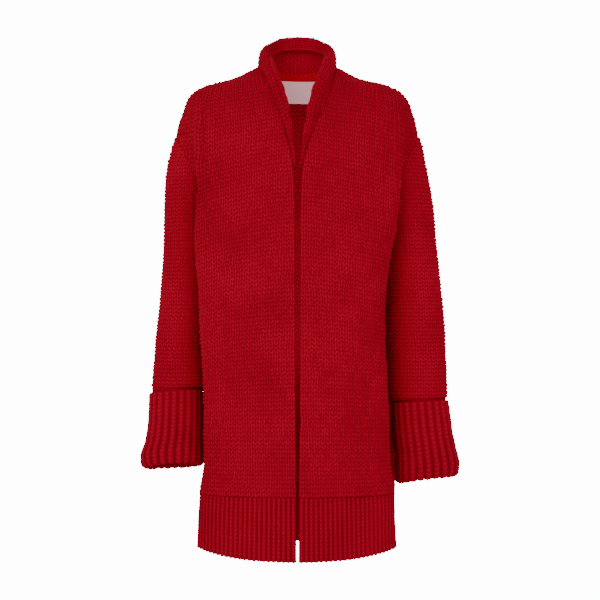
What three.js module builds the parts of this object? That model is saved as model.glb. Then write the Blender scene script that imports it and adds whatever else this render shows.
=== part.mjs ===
// A super-chunky knit shawl coat, filled out as it hangs when worn, in millimetres.
// +Z is up, the front faces -Y and the wearer's left is +X. The origin is level with
// the two points where the collar meets the shoulders, midway between them.
import * as THREE from "three";

// A table as one object for each row, with the columns' names as its keys.
function table(columns, ...rows) {
  const names = columns.split(" ");
  return rows.map((row) => Object.fromEntries(names.map((name, i) => [name, row[i]])));
}

// Driving sizes
const knitWall = 5;          // stocking stitch in a 4 mm yarn
const ribWall = 5.6;         // single rib stands a little thicker
const seamGap = 0.3;         // between neighbouring pieces
const collarGap = 0.5;       // between the fronts and the collar, whose seam is curved
const armholeGap = 0.7;      // between a sleeve's top and the armhole
const hemSeamZ = -727;       // where the hem ribs are joined on
const hemFlat = 107;         // height of the hem ribs at the centre front
const hemSideRise = 15;      // how much higher the hem lies at the side seams
const neckDip = 10;          // how far the neck seam drops at the centre back
const seamY = 5;             // side seams and sleeve tops lie this far behind the origin
const frontSteps = [3, 6];   // from the side seam to the fold, and on to the front edge
const backSteps = [3, 7, 7, 3];
const ringSteps = 16;        // round a sleeve or cuff
const collarSteps = [4, 2];  // from the collar's seam to its roll, and on to its free edge

// The armhole is one tilted oval: its top is on the shoulder, its foot is the underarm.
const armhole = { x: 175, z: -186, out: 34, up: 65, deep: 66 };
const armholeRows = 8;

// Body sections, from the neck down. edge and fold are given for the wearer's left and
// right side: edge is where the front ends at the collar or at the opening, fold is the
// soft ridge where the front turns back beside the arm. side is the shoulder or side seam,
// and backLeft and backRight are where the back turns forward.
// lean is how far the cloth still spreads sideways where it passes the fold.
const bodySections = table(
  "z lean edgeLeft edgeRight frontY foldLeft foldRight foldY sideLeft sideRight backLeft backRight "
    + "backFoldY backY",
  [0, 1.2, 67.5, 67.5, 11, 67.5, 67.5, 11, 67.5, 67.5, 50, 50, 58, 78],
  [-10, 1.2, 66.5, 63, -33, 77, 75.5, -16, 79, 80, 68, 68, 54, 81],
  [-25, 1.5, 63, 56, -58, 96, 97, -32, 110, 113, 98, 98, 53, 86],
  [-37, 1.6, 59.5, 49.5, -71, 136, 135, -38, 155, 156, 131, 131, 55, 91],
  [-52, 1.3, 56, 43.5, -82, 159, 158, -48, 181, 181, 154, 154, 61, 96],
  [-76, 0.9, 46.5, 34.5, -93, 171, 168, -64, 195, 195, 167, 167, 71, 103],
  [-121, 0.4, 27, 20, -106, 174, 168, -78, 209, 209, 173, 173, 84, 111],
  [-186, -0.05, 9, 7, -118, 175, 167, -80, 175, 175, 173, 173, 90, 117],
  [-251, -0.25, 6.2, 4, -124, 170, 167, -80, 140.4, 140.4, 169, 169, 87, 116],
  [-264, -0.3, 6.1, 3.9, -125.1, 168, 167, -80, 135, 135, 168, 168, 86, 115],
  [-290, -0.32, 6, 3.8, -126.6, 163.5, 167, -79, 133, 133, 165, 165, 85, 113],
  [-340, -0.28, 5.8, 3.8, -127.8, 152.5, 166, -77, 137, 136, 160, 160, 80, 108],
  [-400, -0.22, 5.8, 3.8, -127.8, 148, 163.5, -75, 139, 140, 155, 155, 76, 104],
  [-460, -0.16, 5.6, 3.6, -128.4, 147.5, 161, -74, 141, 144, 152, 152, 74, 104],
  [-520, -0.1, 5.4, 3.4, -130, 150, 159, -73, 145, 147, 155, 152, 75, 108],
  [-600, -0.05, 5, 3, -134, 154, 157.6, -71, 149, 149, 167, 155, 77, 115],
  [-672, 0, 4.2, 2.4, -138, 157, 157, -68, 154, 151, 174, 158, 78, 122],
  [-727, 0, 3.6, 1.8, -141, 162, 163, -65, 162, 160, 171, 163, 76, 127],
  [-836, 0, 3.2, 1.4, -149, 167, 169, -60, 168, 168, 168, 167, 72, 133],
);

// Collar sections by the length of seam from the centre back. The collar stands up from
// its seam, turns over at the roll and ends in a free edge, which is the V at the front.
const collarSections = table(
  "seam rollX rollY rollZ edgeX edgeY edgeZ",
  [0, 0, 64, 54, 0, 50, 35],
  [35, 28, 57, 51, 22, 44, 34],
  [70, 46.5, 38, 41, 38, 25, 30],
  [105, 58, 11, 32, 43.5, 2, 26],
  [135, 60, -16, 19, 43.5, -22, 15],
  [160, 57, -43, 4, 40, -47, 3],
  [185, 53, -66, -14, 34, -67, -15],
  [215, 45, -86, -38, 26, -83, -38],
  [255, 31, -102, -73, 16, -98, -75],
  [300, 18.5, -113, -116, 8.5, -109, -118],
  [345, 8.5, -119, -158, 4.6, -116, -159],
  [380, 5.4, -122, -186, 3.4, -119.5, -186],
);
const collarSpring = 0.2;    // how far the collar leans out of its seam as it rises
const collarShift = 2;       // the V sits this far to the wearer's left
const collarFoot = -186;     // the fronts' own edges go on below this height

// Sleeve rings: the outer and inner points of each, its middle and half depth front to
// back, and how much its front is raised over its back as the forearm comes forward.
const sleeveRings = {
  left: table(
    "outX outZ inX inZ midY deep lift",
    [209, -121, 141, -251, 5, 66, 0],
    [218, -152, 143.5, -263, 4.5, 62, 0],
    [225, -182, 143.5, -282, 6, 60, 0],
    [232, -228, 144.5, -307, 8, 58, 0],
    [238, -285, 146.5, -340, 11, 56.5, 0],
    [244, -345, 148, -380, 12, 55.5, 1],
    [250.5, -415, 149.5, -432, 11, 54, 2],
    [255.5, -480, 151, -487, 9, 51, 4],
    [258, -546, 154.5, -546, 5, 48, 4],
  ),
  right: table(
    "outX outZ inX inZ midY deep lift",
    [209, -121, 141, -251, 5, 66, 0],
    [218, -152, 143, -263, 4.5, 62, 0],
    [224, -182, 142, -282, 6, 60, 0],
    [227.5, -228, 141, -307, 8, 58, 0],
    [230.5, -285, 143, -340, 11, 56.5, 0],
    [233, -345, 147, -380, 11, 55.5, 2],
    [238, -415, 151, -432, 9, 54, 4],
    [245, -480, 154, -486, 4, 51, 7],
    [248, -535, 157, -535, -3, 48, 8],
  ),
};

// Cuff rings: the outside of the turned-back rib, from its free edge down to its fold.
const cuffRings = {
  left: table(
    "outX outZ inX inZ midY deep lift",
    [259.5, -575, 161, -580, 4, 53, 4],
    [262.5, -600, 162.5, -606, 2, 53, 4],
    [266, -630, 166, -638, 0, 53, 4],
    [271, -656, 169, -668, -2, 54, 4],
    [277, -684, 168.5, -698, -4, 56, 3],
    [275, -703, 170, -717, -5, 55, 3],
  ),
  right: table(
    "outX outZ inX inZ midY deep lift",
    [252.5, -565, 160.5, -560, -7, 52, 8],
    [253.5, -590, 160.5, -584, -9, 52, 9],
    [255, -620, 160.5, -613, -12, 52, 9],
    [258.5, -645, 160, -637, -15, 53, 9],
    [266.5, -672, 158.5, -663, -18, 55, 9],
    [264, -691, 159.5, -683, -19, 54, 9],
  ),
};
const cuffLayerGap = 1.4;    // air between the two layers of the cuff
const cuffInnerTop = 0.9;    // the inner layer stops short, this far down the rings

// Neck tape and label, inside the centre back
const tapeHeight = 15;
const tapeTopZ = -5;
const tapeHalfWidth = 54;
const tapeWall = 1;
const labelWidth = 70;
const labelHeight = 39;
const labelTopZ = -19;
const labelWall = 0.8;
const labelTilt = 0.02;      // one end hangs slightly lower

const colours = { knit: 0xa30f1c, rib: 0x9c0e1a, tape: 0xae1120, label: 0xd8c8cc };

// A smooth, overshoot-free value of one column of a table, between its rows.
function slopeBetween(a, b, key, name) {
  return (b[name] - a[name]) / (b[key] - a[key]);
}

function rowSlope(table, i, key, name) {
  if (i === 0) return slopeBetween(table[0], table[1], key, name);
  if (i === table.length - 1) return slopeBetween(table[i - 1], table[i], key, name);
  const before = slopeBetween(table[i - 1], table[i], key, name);
  const after = slopeBetween(table[i], table[i + 1], key, name);
  return before * after > 0 ? (2 * before * after) / (before + after) : 0;
}

function valueAt(table, key, place, name) {
  const falling = table[1][key] < table[0][key];
  let i = 0;
  while (i < table.length - 2 && (falling ? table[i + 1][key] > place : table[i + 1][key] < place)) {
    i += 1;
  }
  const low = table[i];
  const high = table[i + 1];
  const span = high[key] - low[key];
  const t = (place - low[key]) / span;
  const startSlope = rowSlope(table, i, key, name) * span;
  const endSlope = rowSlope(table, i + 1, key, name) * span;
  const rise = high[name] - low[name];
  const bend = startSlope + endSlope - 2 * rise;
  return low[name] + t * (startSlope + t * (rise - startSlope - bend + t * bend));
}

// A smooth line through knots, each with a point and the direction that the line runs in,
// with a set number of equal steps from each knot to the next and a trim off both ends.
function smoothLine(knots, pull, steps, trim) {
  const line = [knots[0].point.clone()];
  for (let i = 1; i < knots.length; i += 1) {
    const from = knots[i - 1];
    const to = knots[i];
    const span = new THREE.Vector3().subVectors(to.point, from.point);
    const nearStart = from.point.clone().addScaledVector(from.way, pull(from.way, span));
    const nearEnd = to.point.clone().addScaledVector(to.way, -pull(to.way, span));
    const curve = new THREE.CubicBezierCurve3(from.point, nearStart, nearEnd, to.point);
    line.push(...curve.getSpacedPoints(steps[i - 1]).slice(1));
  }
  const last = line.length - 1;
  const startWay = new THREE.Vector3().subVectors(line[1], line[0]).normalize();
  const endWay = new THREE.Vector3().subVectors(line[last - 1], line[last]).normalize();
  line[0].addScaledVector(startWay, trim);
  line[last].addScaledVector(endWay, trim);
  return line;
}

// How far a body row runs on in a knot's direction: mostly its share of the span that way.
function rowPull(way, span) {
  return 0.3 * Math.abs(way.x * span.x) + 0.47 * Math.abs(way.y * span.y) + 0.05 * span.length();
}

function collarPull(way, span) {
  return 0.38 * span.length();
}

function knot(x, y, z, wayX, wayY) {
  return { point: new THREE.Vector3(x, y, z), way: new THREE.Vector3(wayX, wayY, 0).normalize() };
}

// Where a front or back panel ends at height z: shoulder seam, armhole or side seam.
function panelEnd(z, side, towards) {
  const top = armhole.z + armhole.up;
  const foot = armhole.z - armhole.up;
  if (z < top && z > foot) {
    const turn = Math.acos((z - armhole.z) / armhole.up);
    const x = armhole.x + armhole.out * Math.cos(turn);
    return new THREE.Vector3(side.out * x, seamY + towards * armhole.deep * Math.sin(turn), z);
  }
  return new THREE.Vector3(side.out * bodyValue(z, "side" + side.cap), seamY, z);
}

function bodyValue(z, name) {
  return valueAt(bodySections, "z", z, name);
}

// One row of a front, from its seam end round the fold to its free or collar edge.
function frontRow(z, side) {
  const edgeX = bodyValue(z, "edge" + side.cap);
  const foldX = bodyValue(z, "fold" + side.cap);
  const foldY = bodyValue(z, "foldY");
  const lean = bodyValue(z, "lean");
  const end = panelEnd(z, side, -1);
  const endLean = armholeShare(z) * (side.out * end.x - foldX) / (end.y - foldY);
  const knots = [
    knot(end.x, end.y, z, -side.out * endLean, -1),
    knot(side.out * foldX, foldY, z, -side.out * lean, -1),
    knot(side.out * edgeX, bodyValue(z, "frontY"), z, -side.out, -0.08),
  ];
  return smoothLine(knots, rowPull, frontSteps, seamGap / 2);
}

// One row of the back, from the right seam across to the left seam.
function backRow(z, steps = backSteps) {
  const foldLeft = bodyValue(z, "backLeft");
  const foldRight = bodyValue(z, "backRight");
  const foldY = bodyValue(z, "backFoldY");
  const lean = bodyValue(z, "lean");
  const start = panelEnd(z, sides[1], 1);
  const end = panelEnd(z, sides[0], 1);
  const endLean = armholeShare(z) * (end.x - foldLeft) / (foldY - end.y);
  const knots = [
    knot(start.x, start.y, z, endLean, 1),
    knot(-foldRight, foldY, z, lean, 1),
    knot(0, bodyValue(z, "backY"), z, 1, 0),
    knot(foldLeft, foldY, z, lean, -1),
    knot(end.x, end.y, z, endLean, -1),
  ];
  return smoothLine(knots, rowPull, steps, seamGap / 2);
}

function inArmhole(z) {
  return Math.abs(z - armhole.z) < armhole.up - 0.5;
}

// 1 at the top of the armhole, falling to 0 at its foot and a little way above it.
function armholeShare(z) {
  const overTop = z - armhole.z - armhole.up;
  const share = overTop > 0 ? 1 - overTop / armhole.up : 1 + overTop / (2 * armhole.up);
  return Math.max(0, share);
}

// The neck seam drops at the centre back and levels out lower down.
function dipped(point, z) {
  const fade = Math.max(0, 1 + z / 60);
  const across = Math.max(0, 1 - (point.x / 67.5) ** 2);
  return point.clone().setZ(point.z - neckDip * fade * across);
}

// Heights of the rows: the shoulders, then equal turns of the armhole, then the body.
const shoulderHeights = [-3.5, -10, -17.5, -25, -32, -41, -52, -68, -93];
const armholeStart = shoulderHeights.length;

function bodyHeights() {
  const heights = [...shoulderHeights];
  for (let i = 0; i <= armholeRows; i += 1) {
    heights.push(armhole.z + armhole.up * Math.cos((Math.PI * i) / armholeRows));
  }
  return heights.concat([-264, -285, -325, -385, -450, -520, -595, -665, hemSeamZ]);
}

// The hem dips towards the centre front and centre back and rises at the sides.
function hemRow(row, share) {
  return row.map((point) => {
    const out = Math.min(1, Math.abs(point.x) / 166);
    const foot = hemFlat - hemSideRise * out ** 3;
    return point.clone().setZ(hemSeamZ - seamGap - share * foot);
  });
}

// Unit normals of a grid of points, by differences along its rows and columns.
function gridNormals(grid, flip, closed) {
  const rows = grid.length;
  const columns = grid[0].length;
  return grid.map((row, i) => row.map((point, j) => {
    const above = grid[Math.max(0, i - 1)][j];
    const below = grid[Math.min(rows - 1, i + 1)][j];
    const before = closed ? row[(j + columns - 1) % columns] : row[Math.max(0, j - 1)];
    const after = closed ? row[(j + 1) % columns] : row[Math.min(columns - 1, j + 1)];
    const down = new THREE.Vector3().subVectors(below, above);
    const along = new THREE.Vector3().subVectors(after, before);
    return new THREE.Vector3().crossVectors(along, down).normalize().multiplyScalar(flip);
  }));
}

// Neighbours share one direction for their rims, so that no wall runs into the next.
function shareNormal(first, second) {
  const both = new THREE.Vector3().addVectors(first, second);
  if (first.dot(second) > 0) {
    both.normalize();
    first.copy(both);
    second.copy(both);
  }
}

// A closed wall: the grid, the same grid moved inwards by its wall, and the rims.
function wallGeometry(grid, normals, wall, closed = false) {
  const rows = grid.length;
  const columns = grid[0].length;
  const moved = (point, i, j) => point.clone().addScaledVector(normals[i][j], -wall);
  const inner = grid.map((row, i) => row.map((point, j) => moved(point, i, j)));
  const points = grid.flat().concat(inner.flat());
  const half = rows * columns;
  const at = (i, j) => i * columns + (j % columns);
  const index = [];
  const lastColumn = closed ? columns : columns - 1;
  for (let i = 0; i < rows - 1; i += 1) {
    for (let j = 0; j < lastColumn; j += 1) {
      const patch = [at(i, j), at(i + 1, j), at(i + 1, j + 1), at(i, j + 1)];
      const [a, b, c, d] = addPatch(index, points, patch);
      index.push(half + a, half + c, half + b, half + a, half + d, half + c);
    }
  }
  const rim = (a, b) => addPatch(index, points, [a, b, half + b, half + a]);
  for (let j = 0; j < lastColumn; j += 1) {
    rim(at(0, j), at(0, j + 1));
    rim(at(rows - 1, j + 1), at(rows - 1, j));
  }
  for (let i = 0; i < rows - 1 && !closed; i += 1) {
    rim(at(i + 1, 0), at(i, 0));
    rim(at(i, columns - 1), at(i + 1, columns - 1));
  }
  return facingOut(points, index);
}

// Each four-cornered patch is split along its shorter diagonal.
function addPatch(index, points, patch) {
  const turned = [patch[1], patch[2], patch[3], patch[0]];
  const first = points[patch[0]].distanceTo(points[patch[2]]);
  const second = points[patch[1]].distanceTo(points[patch[3]]);
  const [a, b, c, d] = second < first ? turned : patch;
  index.push(a, b, c, a, c, d);
  return [a, b, c, d];
}

// A mesh wound inside out has a negative volume; its triangles are then turned over.
function facingOut(points, index) {
  let volume = 0;
  for (let k = 0; k < index.length; k += 3) {
    const [a, b, c] = [points[index[k]], points[index[k + 1]], points[index[k + 2]]];
    volume += a.dot(b.clone().cross(c));
  }
  const turned = [];
  for (let k = 0; k < index.length; k += 3) {
    turned.push(index[k], index[k + (volume < 0 ? 2 : 1)], index[k + (volume < 0 ? 1 : 2)]);
  }
  const geometry = new THREE.BufferGeometry();
  geometry.setFromPoints(points);
  geometry.setIndex(turned);
  geometry.computeVertexNormals();
  return geometry;
}

function addPiece(name, geometry, colour, roughness) {
  const material = new THREE.MeshStandardMaterial({ color: colour, roughness, metalness: 0 });
  const mesh = new THREE.Mesh(geometry, material);
  mesh.name = name;
  coat.add(mesh);
}

// One point of a sleeve or cuff ring; turn 0 is outermost, a quarter turn is the front.
function ringPoint(ring, side, turn, inset) {
  const outer = new THREE.Vector3(ring.outX, ring.midY, ring.outZ);
  const inner = new THREE.Vector3(ring.inX, ring.midY, ring.inZ);
  const middle = new THREE.Vector3().lerpVectors(outer, inner, 0.5);
  const outward = new THREE.Vector3().subVectors(outer, middle);
  const forward = new THREE.Vector3(0, -ring.deep, ring.lift);
  outward.setLength(outward.length() - inset);
  forward.setLength(forward.length() - inset);
  middle.addScaledVector(outward, Math.cos(turn)).addScaledVector(forward, Math.sin(turn));
  return middle.setX(side.out * middle.x);
}

function ringRow(ring, side, inset) {
  const turns = Array.from({ length: ringSteps }, (_, k) => (2 * Math.PI * k) / ringSteps);
  return turns.map((turn) => ringPoint(ring, side, turn, inset));
}

// A ring part of the way down a table of rings, counted in rows.
function ringBetween(rings, place) {
  const low = Math.min(rings.length - 2, Math.floor(place));
  const ring = {};
  for (const name of Object.keys(rings[0])) {
    ring[name] = rings[low][name] + (place - low) * (rings[low + 1][name] - rings[low][name]);
  }
  return ring;
}

const sides = [
  { name: "left", cap: "Left", out: 1 },
  { name: "right", cap: "Right", out: -1 },
];
const coat = new THREE.Group();

// Fronts and back
const heights = bodyHeights();
const fronts = {};
for (const side of sides) {
  const grid = heights.map((z) => frontRow(z, side));
  fronts[side.name] = { grid, normals: gridNormals(grid, side.out, false), flip: side.out };
}
const backGrid = [0, ...heights].map((z) => backRow(z).map((p) => dipped(p, z)));
const back = { grid: backGrid, normals: gridNormals(backGrid, 1, false), flip: 1 };

const lastFront = fronts.left.grid[0].length - 1;
const lastBack = backGrid[0].length - 1;

// Shoulder and side seams join the fronts to the back outside the armholes.
heights.forEach((z, i) => {
  if (!inArmhole(z)) {
    shareNormal(fronts.left.normals[i][0], back.normals[i + 1][lastBack]);
    shareNormal(fronts.right.normals[i][0], back.normals[i + 1][0]);
  }
});

// Hem ribs carry the panels' own rows on down.
const hemShares = [0, 0.3, 0.6, 0.88, 1];
function hemOf(panel, panelRow) {
  const grid = hemShares.map((share) => hemRow(panelRow(hemSeamZ - share * hemFlat), share));
  return { grid, normals: gridNormals(grid, panel.flip, false) };
}
const hems = {
  front_left: hemOf(fronts.left, (z) => frontRow(z, sides[0])),
  front_right: hemOf(fronts.right, (z) => frontRow(z, sides[1])),
  back: hemOf(back, (z) => backRow(z)),
};
hemShares.forEach((share, i) => {
  shareNormal(hems.front_left.normals[i][0], hems.back.normals[i][lastBack]);
  shareNormal(hems.front_right.normals[i][0], hems.back.normals[i][0]);
});
function shareHemSeam(panel, hem) {
  panel.normals[panel.normals.length - 1].forEach((normal, j) => shareNormal(normal, hem.normals[0][j]));
}
shareHemSeam(fronts.left, hems.front_left);
shareHemSeam(fronts.right, hems.front_right);
shareHemSeam(back, hems.back);

// Collar: sections from the foot of the right V, round the neck, to the foot of the left.
// Each station is a point of a panel's edge, moved off the panel square to that edge.
function stationsAlong(edge, before, normals) {
  return edge.map((point, i) => {
    const ahead = edge[Math.min(i + 1, edge.length - 1)];
    const along = new THREE.Vector3().subVectors(ahead, edge[Math.max(i - 1, 0)]);
    const step = new THREE.Vector3().crossVectors(along, normals[i]).setLength(collarGap);
    const off = step.dot(new THREE.Vector3().subVectors(point, before[i])) < 0 ? -1 : 1;
    return { point: point.clone().addScaledVector(step, off), normal: normals[i] };
  });
}

function frontSeam(side) {
  const panel = fronts[side.name];
  const rows = heights.filter((z) => z >= collarFoot - 0.5).length;
  const column = (grid, j) => grid.slice(0, rows).map((row) => row[j]);
  const before = column(panel.grid, lastFront - 1);
  return stationsAlong(column(panel.grid, lastFront), before, column(panel.normals, lastFront));
}

const backSeam = stationsAlong(back.grid[0], back.grid[1], back.normals[0]);
const seamStations = frontSeam(sides[1]).reverse().concat(backSeam, frontSeam(sides[0]));

function seamLengths(stations) {
  const lengths = [0];
  for (let i = 1; i < stations.length; i += 1) {
    lengths.push(lengths[i - 1] + stations[i].point.distanceTo(stations[i - 1].point));
  }
  const middle = lengths[(stations.length - 1) / 2];
  return lengths.map((length) => length - middle);
}

function collarRow(station, length) {
  const out = length < 0 ? -1 : 1;
  const reach = Math.min(Math.abs(length), collarSections[collarSections.length - 1].seam);
  const value = (name) => valueAt(collarSections, "seam", reach, name);
  const shift = collarShift * Math.min(1, reach / 120);
  const roll = new THREE.Vector3(out * value("rollX") + shift, value("rollY"), value("rollZ"));
  const edge = new THREE.Vector3(out * value("edgeX") + shift, value("edgeY"), value("edgeZ"));
  const rise = new THREE.Vector3().subVectors(roll, station.point);
  const start = rise.clone().addScaledVector(station.normal, collarSpring * rise.length()).normalize();
  const crest = new THREE.Vector3().subVectors(edge, station.point).normalize();
  const finish = new THREE.Vector3().subVectors(edge, roll).normalize();
  const knots = [
    { point: station.point, way: start },
    { point: roll, way: crest },
    { point: edge, way: finish },
  ];
  return smoothLine(knots, collarPull, collarSteps, 0);
}
const stationLengths = seamLengths(seamStations);
const collarGrid = seamStations.map((station, i) => collarRow(station, stationLengths[i]));
const collar = { grid: collarGrid, normals: gridNormals(collarGrid, -1, false) };
seamStations.forEach((station, i) => shareNormal(station.normal, collar.normals[i][0]));

// Sleeves hang from the armholes. Their ends go on down inside the turned-back cuffs,
// to the top of each cuff's inner layer.
const innerSkin = ribWall + cuffLayerGap;
for (const side of sides) {
  const cuff = cuffRings[side.name];
  const rings = sleeveRings[side.name].map((ring) => ringRow(ring, side, 0));
  rings.push(ringRow(ringBetween(cuff, 0.1), side, innerSkin));
  rings.push(ringRow(ringBetween(cuff, cuffInnerTop - 0.045), side, innerSkin));
  const away = new THREE.Vector3(side.out * armhole.up, 0, -armhole.out).setLength(armholeGap);
  rings[0].forEach((point) => point.add(away));
  const normals = gridNormals(rings, side.out, true);
  const backEnd = side.out > 0 ? lastBack : 0;
  for (let i = 0; i <= armholeRows; i += 1) {
    shareNormal(normals[0][i], fronts[side.name].normals[armholeStart + i][0]);
    shareNormal(normals[0][(ringSteps - i) % ringSteps], back.normals[armholeStart + 1 + i][backEnd]);
  }
  addPiece("sleeve_" + side.name, wallGeometry(rings, normals, knitWall, true), colours.knit, 0.9);

  const profile = cuffProfile(cuff.length - 1);
  const loop = profile.map((step) => ringRow(ringBetween(cuff, step.place), side, step.inset));
  addPiece("cuff_" + side.name, loopGeometry(loop), colours.rib, 0.9);
}

// The cuff's section, as places down its table of rings and insets from its outside:
// down the outside, round the fold, up the inside of the hand opening, over the inner
// layer's top, down between the two layers, and up to the free edge.
function cuffProfile(foot) {
  const handInset = innerSkin + ribWall;
  const turnUp = foot - 0.45;
  const profile = [];
  for (let place = 0; place < foot; place += 1) {
    profile.push({ place, inset: 0 });
  }
  profile.push({ place: foot - 0.2, inset: 1.2 });
  profile.push({ place: foot, inset: handInset * 0.32 });
  profile.push({ place: foot, inset: handInset * 0.68 });
  profile.push({ place: foot - 0.2, inset: handInset - 1.2 });
  for (let place = foot - 1; place > cuffInnerTop + 0.3; place -= 1) {
    profile.push({ place, inset: handInset });
  }
  profile.push({ place: cuffInnerTop, inset: handInset });
  profile.push({ place: cuffInnerTop, inset: innerSkin });
  for (let place = Math.ceil(cuffInnerTop + 0.3); place < turnUp; place += 1) {
    profile.push({ place, inset: innerSkin });
  }
  profile.push({ place: turnUp, inset: innerSkin });
  profile.push({ place: turnUp, inset: ribWall });
  for (let place = foot - 1; place >= 0; place -= 1) {
    profile.push({ place, inset: ribWall });
  }
  return profile;
}

// A closed ring of a closed profile, such as the turned-back cuff.
function loopGeometry(loop) {
  const rows = loop.length;
  const columns = loop[0].length;
  const points = loop.flat();
  const at = (i, j) => (i % rows) * columns + (j % columns);
  const index = [];
  for (let i = 0; i < rows; i += 1) {
    for (let j = 0; j < columns; j += 1) {
      addPatch(index, points, [at(i, j), at(i + 1, j), at(i + 1, j + 1), at(i, j + 1)]);
    }
  }
  return facingOut(points, index);
}

const panels = { front_left: fronts.left, front_right: fronts.right, back, collar };
for (const [name, panel] of Object.entries(panels)) {
  addPiece(name, wallGeometry(panel.grid, panel.normals, knitWall), colours.knit, 0.9);
}
for (const [name, hem] of Object.entries(hems)) {
  addPiece("hem_rib_" + name, wallGeometry(hem.grid, hem.normals, ribWall), colours.rib, 0.9);
}

// Neck tape: a strip on the inside of the neck seam. The label is sewn over its lower edge.
function neckLine(x, inset) {
  const row = backRow(0, [15, 15, 15, 15]);
  const nearest = row.reduce((best, p, i) => (Math.abs(p.x - x) < Math.abs(row[best].x - x) ? i : best), 1);
  const before = row[nearest - 1];
  const after = row[nearest + 1];
  const y = before.y + ((after.y - before.y) * (x - before.x)) / (after.x - before.x);
  const normal = new THREE.Vector3(before.y - after.y, after.x - before.x, 0).normalize();
  return new THREE.Vector3(x, y, 0).addScaledVector(normal, -inset);
}

function tapeRow(share, inset) {
  const row = [];
  for (let i = 0; i <= 10; i += 1) {
    const x = tapeHalfWidth * (i / 5 - 1);
    const point = neckLine(x, inset);
    row.push(dipped(point, 0).setZ(tapeTopZ + neckDip * (x / 67.5) ** 2 - share * tapeHeight));
  }
  return row;
}
const tapeInset = knitWall + 0.4;
const tapeGrid = [0, 0.35, 1].map((share) => tapeRow(share, tapeInset));
addPiece("neck_tape", wallGeometry(tapeGrid, gridNormals(tapeGrid, 1, false), tapeWall), colours.tape, 0.7);

const labelInset = tapeInset + tapeWall + 0.5;
const labelGrid = [0, 0.33, 0.67, 1].map((share) => {
  const row = [];
  for (let i = 0; i <= 6; i += 1) {
    const x = labelWidth * (i / 6 - 0.5);
    const point = neckLine(x, labelInset);
    const flatter = neckLine(0, labelInset).y;
    point.setY(point.y + (flatter - point.y) * 0.45 * share);
    row.push(point.setZ(labelTopZ - share * labelHeight - labelTilt * x));
  }
  return row;
});
const labelNormals = gridNormals(labelGrid, 1, false);
addPiece("label", wallGeometry(labelGrid, labelNormals, labelWall), colours.label, 0.45);

export default coat;
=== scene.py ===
import math
import bpy
import bmesh
import numpy as np
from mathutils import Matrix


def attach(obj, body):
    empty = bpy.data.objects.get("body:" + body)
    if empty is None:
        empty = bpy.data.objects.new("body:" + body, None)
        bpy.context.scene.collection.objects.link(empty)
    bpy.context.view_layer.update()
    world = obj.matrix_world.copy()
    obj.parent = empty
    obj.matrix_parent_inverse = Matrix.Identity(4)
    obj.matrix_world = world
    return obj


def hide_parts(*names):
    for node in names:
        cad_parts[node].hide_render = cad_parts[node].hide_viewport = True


# A chunky stocking-stitch shawl coat, shown hollow as it is worn. Each panel is knitted flat
# as a grid that follows its stitches, then laid on the panel's form. Lengths are in
# millimetres until a piece is laid, and the frame's metres after that.

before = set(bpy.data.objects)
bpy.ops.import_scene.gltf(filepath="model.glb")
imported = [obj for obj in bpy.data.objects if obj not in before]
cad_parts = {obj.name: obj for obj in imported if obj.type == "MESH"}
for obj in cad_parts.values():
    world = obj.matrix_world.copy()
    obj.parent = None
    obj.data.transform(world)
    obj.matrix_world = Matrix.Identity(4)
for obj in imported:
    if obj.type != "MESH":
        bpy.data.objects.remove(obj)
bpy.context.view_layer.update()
print("loaded the packed coat")

view = {
    "place": (0.005, -3.1, -0.403),
    "lens": 108.1,
    "floorHeight": -2.2,
    "floorRadius": 7.4,
    "floorColour": "#f4f4f4",
    "roomLight": 0.75,      # the even light of the room
    "backdropLight": 14.0,  # the lit backdrop behind the coat
    "backdropSpread": (0.232, 0.262),
}


def linearColour(text):
    # an sRGB hex value as the linear colour that nodes and lights take
    parts = [int(text[i:i + 2], 16) / 255 for i in (1, 3, 5)]
    return tuple(p / 12.92 if p <= 0.04045 else ((p + 0.055) / 1.055) ** 2.4 for p in parts) + (1.0,)


def addNode(tree, kind, settings=None, links=None):
    # one node: settings are its own options or the values of its sockets, links feed sockets
    node = tree.nodes.new(kind)
    for name, value in (settings or {}).items():
        if isinstance(name, str) and hasattr(node, name) and name not in node.inputs:
            setattr(node, name, value)
        else:
            node.inputs[name].default_value = value
    for name, source in (links or {}).items():
        tree.links.new(source, node.inputs[name])
    return node


def newMaterial(name):
    material = bpy.data.materials.new(name)
    material.use_nodes = True
    tree = material.node_tree
    tree.nodes.clear()
    return material, tree


def makeCamera():
    lens = bpy.data.cameras.new("portrait_lens")
    lens.lens = view["lens"]
    lens.sensor_width = 36
    lens.clip_end = 200
    camera = bpy.data.objects.new("portrait_camera", lens)
    camera.location = view["place"]
    camera.rotation_euler = (math.pi / 2, 0, 0)
    bpy.context.scene.collection.objects.link(camera)
    bpy.context.scene.camera = camera


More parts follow.
